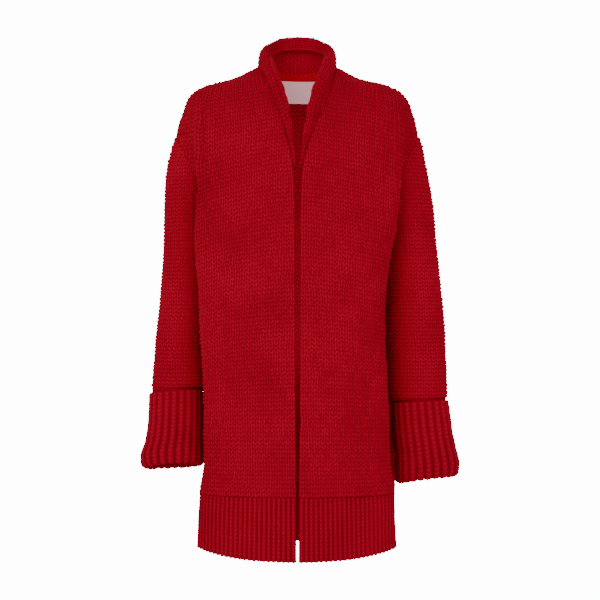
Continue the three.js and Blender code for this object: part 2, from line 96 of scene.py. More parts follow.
def makeFloor():
    # matt white floor paint, which fades into the room at its rim
    bm = bmesh.new()
    bmesh.ops.create_circle(bm, cap_ends=True, segments=96, radius=view["floorRadius"])
    bmesh.ops.translate(bm, vec=(0, 0, view["floorHeight"]), verts=bm.verts)
    mesh = bpy.data.meshes.new("studio_floor")
    bm.to_mesh(mesh)
    bm.free()
    floor = bpy.data.objects.new("studio_floor", mesh)
    bpy.context.scene.collection.objects.link(floor)
    material, tree = newMaterial("matt_white_floor_paint")
    place = addNode(tree, "ShaderNodeTexCoord")
    flat = addNode(tree, "ShaderNodeVectorMath", {"operation": "MULTIPLY", 1: (1, 1, 0)},
                   {0: place.outputs["Object"]})
    away = addNode(tree, "ShaderNodeVectorMath", {"operation": "LENGTH"}, {0: flat.outputs[0]})
    fade = addNode(tree, "ShaderNodeMapRange", {
        "interpolation_type": "SMOOTHERSTEP", "From Min": view["floorRadius"] * 0.4,
        "From Max": view["floorRadius"] * 0.97}, {"Value": away.outputs["Value"]})
    paint = addNode(tree, "ShaderNodeBsdfDiffuse", {"Color": linearColour(view["floorColour"])})
    clear = addNode(tree, "ShaderNodeBsdfTransparent")
    mix = addNode(tree, "ShaderNodeMixShader",
                  links={0: fade.outputs[0], 1: paint.outputs[0], 2: clear.outputs[0]})
    addNode(tree, "ShaderNodeOutputMaterial", links={"Surface": mix.outputs[0]})
    mesh.materials.append(material)


def makeRoom():
    # an even white room with a lit backdrop beyond the coat's back
    world = bpy.data.worlds.new("white_studio")
    world.use_nodes = True
    tree = world.node_tree
    background = tree.nodes["Background"]
    background.inputs["Color"].default_value = (1, 1, 1, 1)
    place = addNode(tree, "ShaderNodeTexCoord")
    away = addNode(tree, "ShaderNodeVectorMath", {"operation": "DISTANCE", 1: (0, 1, 0)},
                   {0: place.outputs["Generated"]})
    near, far = view["backdropSpread"]
    glow = addNode(tree, "ShaderNodeMapRange", {
        "interpolation_type": "SMOOTHERSTEP", "From Min": near, "From Max": far,
        "To Min": view["backdropLight"], "To Max": view["roomLight"]}, {"Value": away.outputs["Value"]})
    tree.links.new(glow.outputs[0], background.inputs["Strength"])
    bpy.context.scene.world = world


coatMiddle = (0, 0, -0.4)
softboxes = {
    "left_softbox": {"place": (-1.2, -3.3, 0.5), "target": coatMiddle, "size": (1.4, 2.0), "power": 35},
    "right_softbox": {"place": (1.1, -3.3, 0.3), "target": coatMiddle, "size": (1.4, 2.0), "power": 16},
    "back_softbox": {"place": (0.8, 3.0, 1.0), "target": coatMiddle, "size": (1.8, 1.8), "power": 3},
    # a weak light inside the coat, so that the inside of the back isn't black
    "inner_light": {"place": (0, -0.04, -0.3), "target": (0, 0.4, -0.24), "size": (0.1, 0.5), "power": 0.28},
}


def makeLights():
    for name, box in softboxes.items():
        lamp = bpy.data.lights.new(name, "AREA")
        lamp.shape = "RECTANGLE"
        lamp.size, lamp.size_y = box["size"]
        lamp.energy = box["power"]
        light = bpy.data.objects.new(name, lamp)
        light.location = box["place"]
        away = [a - b for a, b in zip(box["place"], box["target"])]
        flat = math.hypot(away[0], away[1])
        light.rotation_euler = (math.atan2(flat, away[2]), 0, math.atan2(away[1], away[0]) + math.pi / 2)
        light.visible_camera = False
        bpy.context.scene.collection.objects.link(light)


makeCamera()
makeFloor()
makeRoom()
makeLights()
print("camera, floor and lights are set")

# Sizes and sections follow the part's own source, in millimetres. The top of the collar and the
# ends of the sleeves differ a little from it, and the tucks close seams that are gaps there.
sizes = {
    "knitWall": 5.0, "ribWall": 5.6, "hemSeam": 727.0, "hemFlat": 107.0, "hemSideRise": 15.0,
    "hemHalf": 166.0, "neckHalf": 67.5, "neckDip": 10.0, "neckDipFade": 60.0, "seamY": 5.0,
    "armX": 175.0, "armZ": -186.0, "armOut": 34.0, "armUp": 65.0, "armDeep": 66.0,
    "collarSpring": 0.2, "seamTuck": 2.5, "neckTuck": 5.0, "collarShift": 2.0, "collarFoot": 186.0,
    "sleeveTop": 122.0, "cuffLayerGap": 1.4, "cuffInnerTop": 0.9, "cuffSquare": 0.1,
}
sleeveEnds = {"left": 600.0, "right": 588.0}    # how far down the sleeves run, inside the cuffs
armTop = -sizes["armZ"] - sizes["armUp"]
armFoot = -sizes["armZ"] + sizes["armUp"]
formSteps = 300     # steps along each row of a form
ringSteps = 97      # points round half a ring


def readTable(names, rows):
    return dict(zip(names.split(), np.array(rows, float).T))


# Half a body section by height. The front goes from its edge round a fold to the side, and the
# back from its middle round a fold to the side.
bodySections = readTable(
    "z lean edgeLeft edgeRight frontY foldLeft foldRight foldY sideLeft sideRight "
    "backLeft backRight backFoldY backY", [
        [0, 1.2, 67.5, 67.5, 11, 67.5, 67.5, 11, 67.5, 67.5, 50, 50, 58, 78],
        [-10, 1.2, 66.5, 63, -33, 77, 75.5, -16, 79, 80, 68, 68, 54, 81],
        [-25, 1.5, 63, 56, -58, 96, 97, -32, 110, 113, 98, 98, 53, 86],
        [-37, 1.6, 59.5, 49.5, -71, 136, 135, -38, 155, 156, 131, 131, 55, 91],
        [-52, 1.3, 56, 43.5, -82, 159, 158, -48, 181, 181, 154, 154, 61, 96],
        [-76, 0.9, 46.5, 34.5, -93, 171, 168, -64, 195, 195, 167, 167, 71, 103],
        [-121, 0.4, 27, 20, -106, 174, 168, -78, 209, 209, 173, 173, 84, 111],
        [-186, -0.05, 9, 7, -118, 175, 167, -80, 175, 175, 173, 173, 90, 117],
        [-251, -0.25, 6.2, 4, -124, 170, 167, -80, 140.4, 140.4, 169, 169, 87, 116],
        [-264, -0.3, 6.1, 3.9, -125.1, 168, 167, -80, 135, 135, 168, 168, 86, 115],
        [-290, -0.32, 6, 3.8, -126.6, 163.5, 167, -79, 133, 133, 165, 165, 85, 113],
        [-340, -0.28, 5.8, 3.8, -127.8, 152.5, 166, -77, 137, 136, 160, 160, 80, 108],
        [-400, -0.22, 5.8, 3.8, -127.8, 148, 163.5, -75, 139, 140, 155, 155, 76, 104],
        [-460, -0.16, 5.6, 3.6, -128.4, 147.5, 161, -74, 141, 144, 152, 152, 74, 104],
        [-520, -0.1, 5.4, 3.4, -130, 150, 159, -73, 145, 147, 155, 152, 75, 108],
        [-600, -0.05, 5, 3, -134, 154, 157.6, -71, 149, 149, 167, 155, 77, 115],
        [-672, 0, 4.2, 2.4, -138, 157, 157, -68, 154, 151, 174, 158, 78, 122],
        [-727, 0, 3.6, 1.8, -141, 162, 163, -65, 162, 160, 171, 163, 76, 127],
        [-836, 0, 3.2, 1.4, -149, 167, 169, -60, 168, 168, 168, 167, 72, 133],
    ])

# The collar by length of seam from the centre back: its rolled crest and its free edge.
collarSections = readTable("seam rollX rollY rollZ edgeX edgeY edgeZ", [
    [0, 0, 64, 57.5, 0, 50, 35],
    [35, 28, 57, 54.5, 22, 44, 32.5],
    [70, 46.5, 38, 44.5, 38, 25, 24],
    [105, 58, 11, 34.5, 43.5, 2, 18],
    [135, 60, -16, 20, 43.5, -22, 10],
    [160, 57, -43, 4.5, 40, -47, 1],
    [185, 53, -66, -14, 34, -67, -15],
    [215, 45, -86, -38, 26, -83, -38],
    [255, 31, -102, -73, 16, -98, -75],
    [300, 18.5, -113, -116, 8.5, -109, -118],
    [345, 8.5, -119, -158, 4.6, -116, -159],
    [380, 5.4, -122, -186, 3.4, -119.5, -186],
])

# Rings of the sleeves and of the outside of the turned-back cuffs, from the top down.
ringNames = "outX outZ inX inZ midY deep lift"
sleeveRings = {
    "left": [
        [209, -121, 141, -251, 5, 66, 0], [218, -152, 143.5, -263, 4.5, 62, 0],
        [225, -182, 143.5, -282, 6, 60, 0], [232, -228, 144.5, -307, 8, 58, 0],
        [238, -285, 146.5, -340, 11, 56.5, 0], [244, -345, 148, -380, 12, 55.5, 1],
        [250.5, -415, 149.5, -432, 11, 54, 2], [255.5, -480, 151, -487, 9, 51, 4],
        [258, -567, 156, -577, 4.6, 49, 4],
    ],
    "right": [
        [209, -121, 141, -251, 5, 66, 0], [218, -152, 143, -263, 4.5, 62, 0],
        [224, -182, 142, -282, 6, 60, 0], [227.5, -228, 141, -307, 8, 58, 0],
        [230.5, -285, 143, -340, 11, 56.5, 0], [233, -345, 147, -380, 11, 55.5, 2],
        [238, -415, 151, -432, 9, 54, 4], [245, -480, 154, -486, 4, 51, 7],
        [247.5, -552, 156.5, -553, -5.5, 49, 8],
    ],
}
cuffRings = {
    "left": [
        [259.5, -575, 161, -580, 4, 53, 4], [262.5, -600, 162.5, -606, 2, 53, 4],
        [266, -630, 166, -638, 0, 53, 4], [271, -656, 169, -668, -2, 54, 4],
        [277, -684, 168.5, -698, -4, 56, 3], [275, -703, 170, -717, -5, 55, 3],
    ],
    "right": [
        [252.5, -565, 160.5, -560, -7, 52, 8], [253.5, -590, 160.5, -584, -9, 52, 9],
        [255, -620, 160.5, -613, -12, 52, 9], [258.5, -645, 160, -637, -15, 53, 9],
        [266.5, -672, 158.5, -663, -18, 55, 9], [264, -691, 159.5, -683, -19, 54, 9],
    ],
}
outOf = {"left": 1, "right": -1}


def smoothValue(knots, values, at):
    # a monotone cubic through the knots, so no section bulges past its neighbours
    span, rise = np.diff(knots), np.diff(values)
    slope = rise / span
    before, after = slope[:-1], slope[1:]
    total = np.where(before + after == 0, 1, before + after)
    middle = np.where(before * after > 0, 2 * before * after / total, 0)
    tangent = np.concatenate([slope[:1], middle, slope[-1:]])
    at = np.clip(at, knots[0], knots[-1])
    i = np.clip(np.searchsorted(knots, at, side="right") - 1, 0, len(span) - 1)
    t = (at - knots[i]) / span[i]
    start, end = tangent[i] * span[i], tangent[i + 1] * span[i]
    bend = start + end - 2 * rise[i]
    return values[i] + t * (start + t * (rise[i] - start - bend + t * bend))


def bodyValue(depth, name):
    return smoothValue(-bodySections["z"], bodySections[name], depth)


def unit(vectors):
    return vectors / np.maximum(np.linalg.norm(vectors, axis=-1, keepdims=True), 1e-9)


def rowPull(way, span):
    length = np.linalg.norm(span, axis=1)
    return 0.3 * np.abs(way[:, 0] * span[:, 0]) + 0.47 * np.abs(way[:, 1] * span[:, 1]) + 0.05 * length


def collarPull(way, span):
    return 0.38 * np.linalg.norm(span, axis=1)


def curveRows(knots, ways, pull, steps=24):
    # every row at once as cubic curves through its knots
    share = np.linspace(0, 1, steps + 1)[None, :, None]
    parts = []
    for a, b, wayA, wayB in zip(knots, knots[1:], ways, ways[1:]):
        span = b - a
        leave = a + wayA * pull(wayA, span)[:, None]
        reach = b - wayB * pull(wayB, span)[:, None]
        curve = ((1 - share) ** 3 * a[:, None] + 3 * (1 - share) ** 2 * share * leave[:, None]
                 + 3 * (1 - share) * share ** 2 * reach[:, None] + share ** 3 * b[:, None])
        parts.append(curve if not parts else curve[:, 1:])
    return np.concatenate(parts, axis=1)


def evenRows(rows):
    # each row cut into equal steps of its own length
    steps = np.linalg.norm(np.diff(rows, axis=1), axis=2)
    gone = np.concatenate([np.zeros((len(rows), 1)), np.cumsum(steps, axis=1)], axis=1)
    marks = np.linspace(0, 1, formSteps + 1)
    even = np.empty((len(rows), formSteps + 1, rows.shape[2]))
    for i, row in enumerate(rows):
        for axis in range(rows.shape[2]):
            even[i, :, axis] = np.interp(marks * gone[i, -1], gone[i], row[:, axis])
    return even, gone[:, -1]


def asForm(halves, outward, joined=None):
    # a form: rows of points from a reference line outwards, on one or two sides of it; the
    # two sides of a tube meet again from its joined row on
    points, lengths = zip(*[evenRows(half) for half in halves])
    return {"points": np.array(points), "lengths": np.array(lengths), "outward": outward, "joined": joined}


def rowLength(form, row, along):
    row = np.clip(row, 0, form["lengths"].shape[1] - 1.001)
    low = row.astype(int)
    part = row - low
    half = np.where(along < 0, form["lengths"].shape[0] - 1, 0)
    return form["lengths"][half, low] * (1 - part) + form["lengths"][half, low + 1] * part


def pointOn(form, row, along):
    points = form["points"]
    row = np.clip(row, 0, points.shape[1] - 1.001)
    if form["joined"] is not None:
        length = rowLength(form, row, along)
        past = (np.abs(along) > length) & (row >= form["joined"])
        onward = rowLength(form, row, -along) - (np.abs(along) - length)
        along = np.where(past, -np.sign(along) * onward, along)
    low = row.astype(int)
    part = (row - low)[:, None]
    half = np.where(along < 0, points.shape[0] - 1, 0)
    place = np.clip(np.abs(along) / np.maximum(rowLength(form, row, along), 1e-6), 0, 1)
    place = place * (points.shape[2] - 1)
    step = np.minimum(place.astype(int), points.shape[2] - 2)
    rest = (place - step)[:, None]
    above = points[half, low, step] * (1 - rest) + points[half, low, step + 1] * rest
    below = points[half, low + 1, step] * (1 - rest) + points[half, low + 1, step + 1] * rest
    return above * (1 - part) + below * part


def wayOut(form, row, along, step=3.0):
    # the surface's outward direction
    sign = np.where(along < 0, -1.0, 1.0)
    reach = np.abs(along)
    ahead = pointOn(form, row, sign * (reach + step))
    behind = pointOn(form, row, sign * np.maximum(reach - step, 1e-4))
    lower = pointOn(form, row + step, along)
    upper = pointOn(form, row - step, along)
    normal = np.cross((ahead - behind) * sign[:, None], lower - upper)
    return unit(normal) * form["outward"]


def armholeShare(depth):
    # 1 at the top of the armhole, falling to 0 at its foot and a little way above it
    above = armTop - depth
    share = np.where(above > 0, 1 - above / sizes["armUp"], 1 + above / (2 * sizes["armUp"]))
    return np.maximum(share, 0)


def sideEnd(depth, side, towards):
    # where a panel's row ends: on the shoulder, round the armhole, or at the side seam
    x = bodyValue(depth, "side" + side.capitalize())
    y = np.full_like(x, sizes["seamY"])
    lift = np.clip((-depth - sizes["armZ"]) / sizes["armUp"], -1, 1)
    turn = np.arccos(lift)
    inside = (depth > armTop) & (depth < armFoot)
    x = np.where(inside, sizes["armX"] + sizes["armOut"] * np.cos(turn), x)
    y = np.where(inside, sizes["seamY"] + towards * sizes["armDeep"] * np.sin(turn), y)
    return x, y


def frontRows(depth, side):
    out = outOf[side]
    name = side.capitalize()
    endX, endY = sideEnd(depth, side, -1)
    foldX, foldY = bodyValue(depth, "fold" + name), bodyValue(depth, "foldY")
    edgeX, edgeY = bodyValue(depth, "edge" + name), bodyValue(depth, "frontY")
    lean = bodyValue(depth, "lean")
    endLean = armholeShare(depth) * (endX - foldX) / (endY - foldY + 1e-9)
    knots = [np.stack([edgeX, edgeY], 1), np.stack([foldX, foldY], 1), np.stack([endX, endY], 1)]
    ones = np.ones_like(depth)
    ways = [unit(np.stack([ones, 0.08 * ones], 1)), unit(np.stack([lean, ones], 1)),
            unit(np.stack([endLean, ones], 1))]
    flat = curveRows(knots, ways, rowPull)
    z = np.repeat(-depth[:, None], flat.shape[1], axis=1)
    return np.stack([flat[..., 0] * out, flat[..., 1], z], axis=2)


def backRows(depth, side):
    out = outOf[side]
    name = side.capitalize()
    endX, endY = sideEnd(depth, side, 1)
    foldX, foldY = bodyValue(depth, "back" + name), bodyValue(depth, "backFoldY")
    middleY = bodyValue(depth, "backY")
    lean = bodyValue(depth, "lean")
    endLean = armholeShare(depth) * (endX - foldX) / (foldY - endY + 1e-9)
    zero, ones = np.zeros_like(depth), np.ones_like(depth)
    knots = [np.stack([zero, middleY], 1), np.stack([foldX, foldY], 1), np.stack([endX, endY], 1)]
    ways = [unit(np.stack([ones, zero], 1)), unit(np.stack([lean, -ones], 1)),
            unit(np.stack([endLean, -ones], 1))]
    flat = curveRows(knots, ways, rowPull)
    z = np.repeat(-depth[:, None], flat.shape[1], axis=1)
    dip = np.maximum(0, 1 + z / sizes["neckDipFade"])
    dip = dip * np.maximum(0, 1 - (flat[..., 0] / sizes["neckHalf"]) ** 2)
    return np.stack([flat[..., 0] * out, flat[..., 1], z - sizes["neckDip"] * dip], axis=2)


def hemRows(rows, share):
    # the hem carries a panel's rows on, and its edge rises a little towards the sides
    out = np.minimum(1, np.abs(rows[..., 0]) / sizes["hemHalf"]) ** 3
    z = -sizes["hemSeam"] - share[:, None] * (sizes["hemFlat"] - sizes["hemSideRise"] * out)
    return np.stack([rows[..., 0], rows[..., 1], z], axis=2)


def ringPoints(rings, at, turn, out, inset=0.0, square=0.0):
    # points on rings that are counted in rows from the top; square fills out a ring's corners
    rows = np.array(rings, float)
    count = np.arange(len(rows), dtype=float)
    value = {n: smoothValue(count, rows[:, k], at) for k, n in enumerate(ringNames.split())}
    halfX, halfZ = (value["outX"] - value["inX"]) / 2, (value["outZ"] - value["inZ"]) / 2
    fuller = 1 + square * np.sin(2 * turn) ** 2
    shorter = fuller * (1 - inset / np.hypot(halfX, halfZ))
    shallower = fuller * (1 - inset / np.hypot(value["deep"], value["lift"]))
    x = (value["outX"] + value["inX"]) / 2 + halfX * shorter * np.cos(turn)
    y = value["midY"] - value["deep"] * shallower * np.sin(turn)
    z = ((value["outZ"] + value["inZ"]) / 2 + halfZ * shorter * np.cos(turn)
         + value["lift"] * shallower * np.sin(turn))
    return np.stack([out * x, y, z], axis=-1)


def insetRing(rings, place, inset):
    # one ring part of the way down a table, drawn in by an inset
    low = int(place)
    ring = np.array(rings[low]) * (1 - place + low) + np.array(rings[low + 1]) * (place - low)
    return [ring[0] - inset, ring[1], ring[2] + inset, ring[3], ring[4], ring[5] - inset, ring[6]]


def sleeveForm(side):
    # level rows from the armhole down, each from the outermost line to the underarm
    innerSkin = sizes["ribWall"] + sizes["cuffLayerGap"]
    cuff = cuffRings[side]
    rings = sleeveRings[side] + [insetRing(cuff, 0.1, innerSkin), insetRing(cuff, 0.86, innerSkin)]
    places = np.linspace(0, len(rings) - 1, 400)
    turns = np.linspace(0, math.pi, ringSteps)
    depth = np.arange(sizes["sleeveTop"], sleeveEnds[side])
    halves = []
    for way in (1, -1):
        grid = ringPoints(rings, places[None, :], way * turns[:, None], outOf[side])
        fall = -grid[..., 2]
        reach = np.array([np.interp(depth, line, places) for line in fall])
        last = np.interp(depth, fall[:, 0], turns)
        rows = np.empty((len(depth), ringSteps, 3))
        for k, end in enumerate(last):
            angle = np.linspace(0, end, ringSteps)
            at = np.interp(angle, turns, reach[:, k])
            rows[k] = ringPoints(rings, at, way * angle, outOf[side])
        rows[..., 2] = -depth[:, None]
        halves.append(rows)
    return asForm(halves, outOf[side], armFoot - sizes["sleeveTop"] + 1)


def cuffForm(side):
    # one run of cloth: down the outside, round the turn, and up inside the sleeve's end
    rings = cuffRings[side]
    foot = len(rings) - 1
    depth = 2 * sizes["ribWall"] + sizes["cuffLayerGap"]
    turnUp = 0.33       # the share of the last ring's step that the turn takes
    outer, inner = 60, 50
    arc = np.linspace(0, math.pi, 16)[1:-1]
    place = np.concatenate([np.linspace(0, foot - turnUp, outer), foot - turnUp + turnUp * np.sin(arc),
                            np.linspace(foot - turnUp, sizes["cuffInnerTop"], inner)])
    inset = np.concatenate([np.zeros(outer), depth / 2 * (1 - np.cos(arc)), np.full(inner, depth)])
    # the rows are spaced evenly along a line down the cuff's front
    middle = ringPoints(rings, place, np.full(len(place), 1.2), 1, inset, sizes["cuffSquare"])
    gone = np.concatenate([[0], np.cumsum(np.linalg.norm(np.diff(middle, axis=0), axis=1))])
    marks = np.arange(0, gone[-1])
    place, inset = np.interp(marks, gone, place), np.interp(marks, gone, inset)
    angle = np.linspace(0, math.pi, ringSteps)[None, :]
    halves = [ringPoints(rings, place[:, None], way * angle, outOf[side], inset[:, None], sizes["cuffSquare"])
              for way in (1, -1)]
    return asForm(halves, outOf[side], 0)


def collarForm(fronts, back):
    # rows run from the collar's free edge over its crest to the seam, station by station
    seam, normal = [], []
    depth = np.arange(0, sizes["collarFoot"] + 1)
    for side in ("right", "left"):
        edge = np.zeros(len(depth))
        seam.append(pointOn(fronts[side], depth, edge))
        normal.append(wayOut(fronts[side], depth, edge))
    across = np.linspace(-back["lengths"][1, 0], back["lengths"][0, 0], 120)[1:-1]
    top = np.zeros(len(across))
    line = np.concatenate([seam[0][::-1], pointOn(back, top, across), seam[1]])
    spring = np.concatenate([normal[0][::-1], wayOut(back, top + 4, across), normal[1]])
    gone = np.concatenate([[0], np.cumsum(np.linalg.norm(np.diff(line, axis=0), axis=1))])
    centre = np.interp(0, across, gone[len(depth):len(depth) + len(across)])
    end = collarSections["seam"][-1]
    marks = np.arange(-end, end + 1)
    marks = marks[(marks > gone[0] - centre) & (marks < gone[-1] - centre)]
    line = np.stack([np.interp(marks, gone - centre, line[:, k]) for k in range(3)], 1)
    spring = unit(np.stack([np.interp(marks, gone - centre, spring[:, k]) for k in range(3)], 1))
    reach = np.abs(marks)
    value = {n: smoothValue(collarSections["seam"], collarSections[n], reach) for n in collarSections}
    shift = sizes["collarShift"] * np.minimum(1, reach / 120)
    out = np.sign(marks)
    roll = np.stack([out * value["rollX"] + shift, value["rollY"], value["rollZ"]], 1)
    free = np.stack([out * value["edgeX"] + shift, value["edgeY"], value["edgeZ"]], 1)
    rise = roll - line
    # it springs off the seam round the neck, and runs on level with the fronts lower down
    far = np.linalg.norm(rise, axis=1)
    level = -np.sum(rise * spring, axis=1) / far
    share = np.clip((reach - 140) / 70, 0, 1)
    share = share * share * (3 - 2 * share)
    lift = sizes["collarSpring"] * (1 - share) + level * share
    start = unit(rise + spring * (lift * far)[:, None])
    rows = curveRows([line, roll, free], [start, unit(free - line), unit(free - roll)], collarPull)
    # its seam edge is tucked into the fronts, and at the sides of the neck down behind the back
    tuck = sizes["seamTuck"] * np.clip((reach - 118) / 10, 0, 1)
    drop = sizes["neckTuck"] * np.clip((reach - 58) / 12, 0, 1) * np.clip((128 - reach) / 10, 0, 1)
    foot = line - spring * (np.maximum(tuck, 0.3 * drop)[:, None] + 0.01)
    foot[:, 2] -= drop
    rows = np.concatenate([foot[:, None], rows], axis=1)
    form = asForm([rows[:, ::-1]], -1)
    form["marks"] = marks
    form["seamZ"] = line[:, 2]
    return form


bodyDepth = np.arange(0, sizes["hemSeam"] + 1)
fronts = {side: asForm([frontRows(bodyDepth, side)], -outOf[side]) for side in outOf}
backForm = asForm([backRows(bodyDepth, side) for side in outOf], 1)
hemShare = np.linspace(0, 1, 108)
hemDepth = sizes["hemSeam"] + hemShare * sizes["hemFlat"]
hemForms = {side: asForm([hemRows(frontRows(hemDepth, side), hemShare)], -outOf[side]) for side in outOf}
hemForms["back"] = asForm([hemRows(backRows(hemDepth, side), hemShare) for side in outOf], 1)
sleeves = {side: sleeveForm(side) for side in outOf}
cuffs = {side: cuffForm(side) for side in outOf}
collar = collarForm(fronts, backForm)
print("the coat's form is laid out")

# A stitch is a wale wide and a course high. Its two legs run down to the middle of the wale,
# so the grid slants with them. Crowns say how far each point stands out, from below 0 in the
# hollows to 1 on top of the yarn.
stitch = {
    "slant": 0.5, "relief": 1.9, "seamDip": 1.1, "seamReach": 6.0,
    "unevenHeight": 0.3, "unevenPlace": 0.8, "weld": 0.00002,
}
noSeam = 99     # a distance at which a seam no longer counts
stitchSlants = np.array([0, 0.5, 1, 0.5])
stitchCrowns = np.array([[-0.1, 0.1, 0.2, 0.1], [0.35, 0.9, 1.0, 0.8], [-0.05, 0.15, 0.3, 0.1],
                         [0.35, 0.9, 1.0, 0.8]])
rib = {"slant": 0.35, "relief": 0.85, "castOff": 0.7, "unevenHeight": 0.25}
ribPlaces = np.array([0, 0.14, 0.32, 0.5, 0.68, 0.86])
ribSlants = np.array([0, 0, 0.5, 1, 0.5, 0])
ribCrowns = np.array([[-2.0, -1.5, -1.2, -1.6], [-0.9, -0.6, -0.5, -0.7], [0.65, 0.85, 0.95, 0.8],
                      [0.65, 0.75, 0.8, 0.7], [0.65, 0.85, 0.95, 0.8], [-0.9, -0.6, -0.5, -0.7]])


def flatCloth(across, down, block):
    # two layers of a flat grid, closed all round; the hidden side is drawn coarser, block by block
    bm = bmesh.new()
    bmesh.ops.create_grid(bm, x_segments=across, y_segments=down, size=0.5)
    bmesh.ops.scale(bm, vec=(across, down, 1), verts=bm.verts)
    bmesh.ops.translate(bm, vec=(across / 2, down / 2, 0), verts=bm.verts)
    bmesh.ops.solidify(bm, geom=bm.faces[:], thickness=1)
    for vert in bm.verts:
        x, y, layer = vert.co
        if layer < -0.5 and 0.5 < x < across - 0.5 and 0.5 < y < down - 0.5:
            vert.co.x = min(block * (round(x) // block) + block / 2, across - 0.5)
            vert.co.y = min(block * (round(y) // block) + block / 2, down - 0.5)
    bmesh.ops.remove_doubles(bm, verts=bm.verts[:], dist=0.01)
    for face in bm.faces:
        if all(vert.co.z < -0.5 for vert in face.verts):
            face.material_index = 1
    mesh = bpy.data.meshes.new("flat_cloth")
    bm.to_mesh(mesh)
    bm.free()
    return mesh


def flatPlaces(mesh):
    flat = np.empty(len(mesh.vertices) * 3)
    mesh.vertices.foreach_get("co", flat)
    return flat.reshape(-1, 3)


def setStitchMap(mesh, wales, courses):
    # the stitch map counts wales across and courses down
    corner = np.empty(len(mesh.loops), dtype=np.int32)
    mesh.loops.foreach_get("vertex_index", corner)
    layer = mesh.uv_layers.new(name="stitch")
    layer.data.foreach_set("uv", np.stack([wales[corner], courses[corner]], 1).ravel())


def closeCloth(name, mesh, points, materials, sideRim=None):
    # moves the flat cloth to its place, closes its seams and makes the piece
    mesh.vertices.foreach_set("co", (points * 0.001).ravel())
    bm = bmesh.new()
    bm.from_mesh(mesh)
    if sideRim is not None:
        bm.verts.ensure_lookup_table()
        gone = [face for face in bm.faces if all(sideRim[vert.index] for vert in face.verts)]
        bmesh.ops.delete(bm, geom=gone, context="FACES_ONLY")
    bmesh.ops.remove_doubles(bm, verts=bm.verts[:], dist=stitch["weld"])
    bmesh.ops.dissolve_degenerate(bm, edges=bm.edges[:], dist=stitch["weld"])
    bmesh.ops.recalc_face_normals(bm, faces=bm.faces[:])
    for face in bm.faces:
        face.smooth = True
    bm.to_mesh(mesh)
    bm.free()
    mesh.name = name
    for material in materials:
        mesh.materials.append(material)
    piece = bpy.data.objects.new(name, mesh)
    bpy.context.scene.collection.objects.link(piece)
    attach(piece, "root")
    area = sum(face.area for face in mesh.polygons) / 2
    print("made", name, len(mesh.polygons), "faces, cloth area", round(area, 4))
    return piece


def unevenTable(seed, columns, rows, amount):
    dice = np.random.default_rng(seed)
    return dice.normal(0, amount, (columns, rows))


def softWaves(seed, x, y, size):
    # a smooth uneven field from a few crossing waves, about -1 to 1
    dice = np.random.default_rng(seed)
    total = np.zeros_like(x)
    for _ in range(7):
        turn, phase = dice.uniform(0, 2 * math.pi, 2)
        pace = 2 * math.pi / (size * dice.uniform(0.7, 1.6))
        total += np.sin((x * math.cos(turn) + y * math.sin(turn)) * pace + phase)
    return total / 3.0


def foldHeight(x, z, folds):
    # soft ridges and troughs along short lines in the view from the front or back
    height = np.zeros_like(x)
    for x1, z1, x2, z2, width, rise in folds:
        spanX, spanZ = x2 - x1, z2 - z1
        share = np.clip(((x - x1) * spanX + (z - z1) * spanZ) / (spanX ** 2 + spanZ ** 2), 0, 1)
        away = np.hypot(x - x1 - share * spanX, z - z1 - share * spanZ)
        ends = np.minimum(1, 4 * np.minimum(share, 1 - share) + 0.15)
        height += rise * ends * np.exp(-(away / width) ** 2)
    return height


def clearOfArmhole(base):
    # 0 on the armhole's seam and 1 from 30 mm off it, so that its two edges stay together
    level = np.clip((base[:, 2] - sizes["armZ"]) / sizes["armUp"], -1, 1)
    depth = sizes["armDeep"] * np.sqrt(1 - level ** 2) * np.sign(base[:, 1] - sizes["seamY"])
    across = np.abs(base[:, 0]) - sizes["armX"] - sizes["armOut"] * level
    away = np.hypot(across, base[:, 1] - sizes["seamY"] - depth)
    away = np.hypot(away, base[:, 2] - sizes["armZ"] - sizes["armUp"] * level)
    return np.clip(away / 30, 0, 1)


